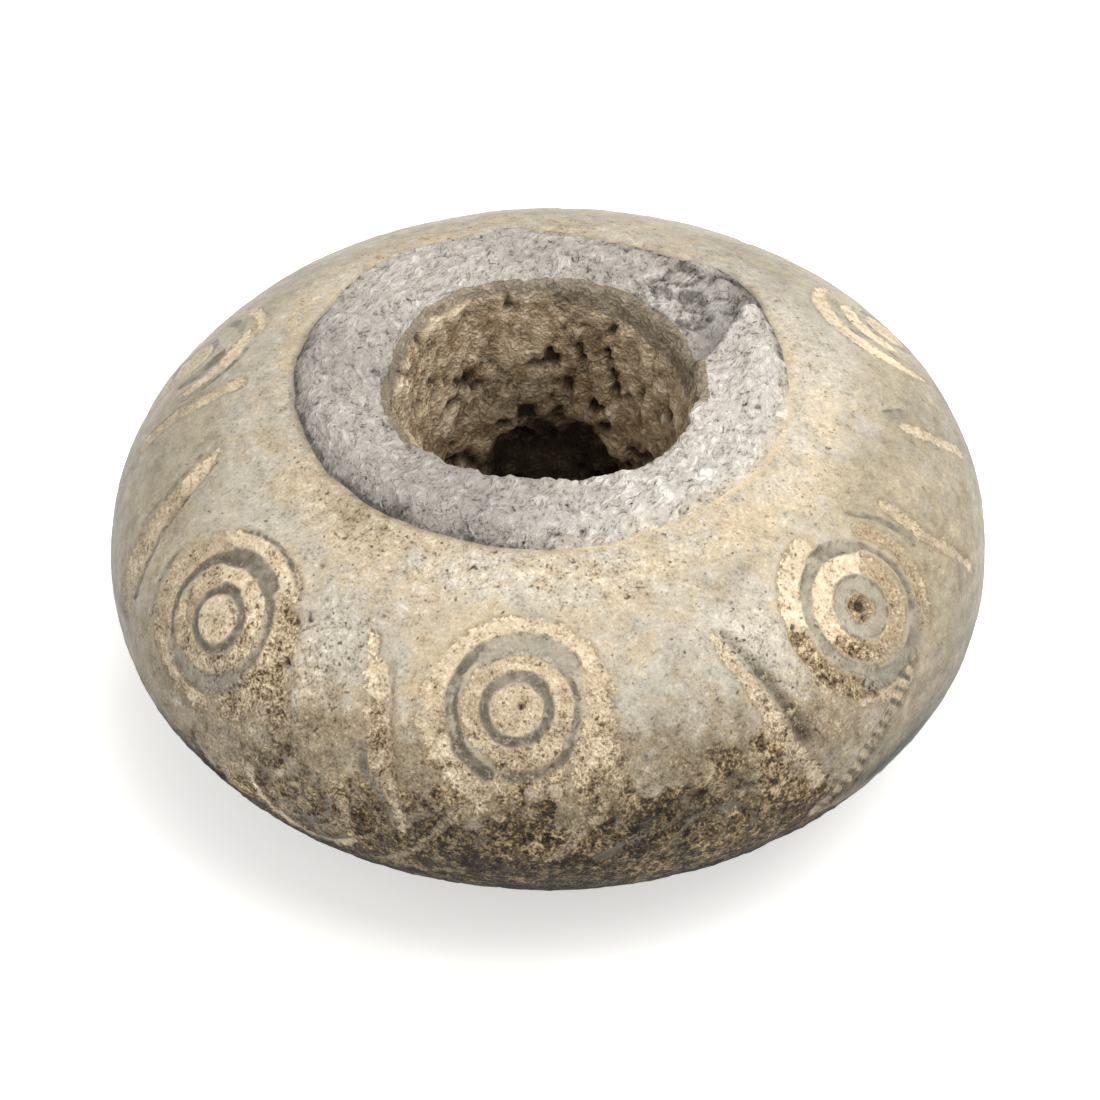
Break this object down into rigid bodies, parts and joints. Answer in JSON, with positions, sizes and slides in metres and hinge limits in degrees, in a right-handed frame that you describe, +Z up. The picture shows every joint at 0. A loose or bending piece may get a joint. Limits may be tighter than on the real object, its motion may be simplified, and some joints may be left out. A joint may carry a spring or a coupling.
{
  "type": "spindle whorl",
  "caption": "Lens-shaped spindle whorl of worn bone with a wide central hole and cut ring-and-dot ornament, made to weight a hand spindle.",
  "frame": {"origin": "centre of the flat underside, on the axis of the hole", "axes": "+Z up along the axis of the hole, -Y towards the side that the picture shows"},
  "size_m": [0.03, 0.03, 0.0146],
  "materials": {
    "mineral_bone": "worn, mineral-hard bone: grey polished skin, buff deposit in the cuts, dark crust low on one side"
  },
  "bodies": {
    "root": {"whorl": "mineral_bone"}
  },
  "joints": []
}
